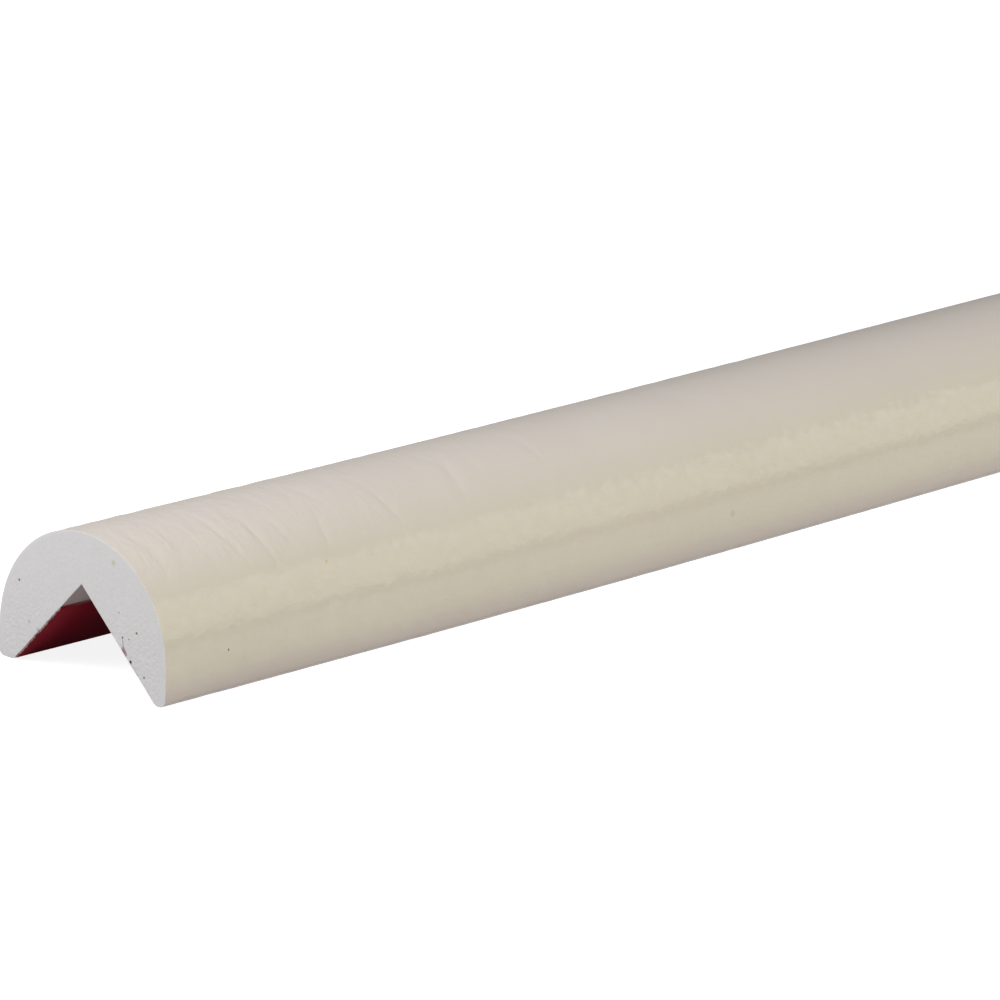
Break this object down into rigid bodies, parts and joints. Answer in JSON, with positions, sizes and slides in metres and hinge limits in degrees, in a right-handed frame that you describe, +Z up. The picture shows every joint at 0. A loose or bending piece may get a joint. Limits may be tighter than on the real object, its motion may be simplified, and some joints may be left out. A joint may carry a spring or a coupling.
{
  "type": "corner edge protector",
  "caption": "Self-adhesive foam corner edge protector: a long cream bar with a round back and a right-angled notch with taped faces that sticks over an outside corner.",
  "frame": {"origin": "on the floor that the bar lies on, under the middle of its length and width", "axes": "+X along the bar, +Y across it towards the left leg as seen from the end at -X, +Z up from the open notch to the crown of the round back"},
  "size_m": [1, 0.04, 0.026],
  "materials": {
    "foam": "flexible moulded polyurethane foam with a smooth satin cream skin and paler sawn ends",
    "adhesive": "tacky double-sided acrylic adhesive film, brownish and slightly see-through",
    "liner": "smooth dark red release film"
  },
  "bodies": {
    "root": {"foam_profile": "foam", "adhesive_film_left": "adhesive", "adhesive_film_right": "adhesive", "release_liner_left": "liner", "release_liner_right": "liner"}
  },
  "joints": []
}
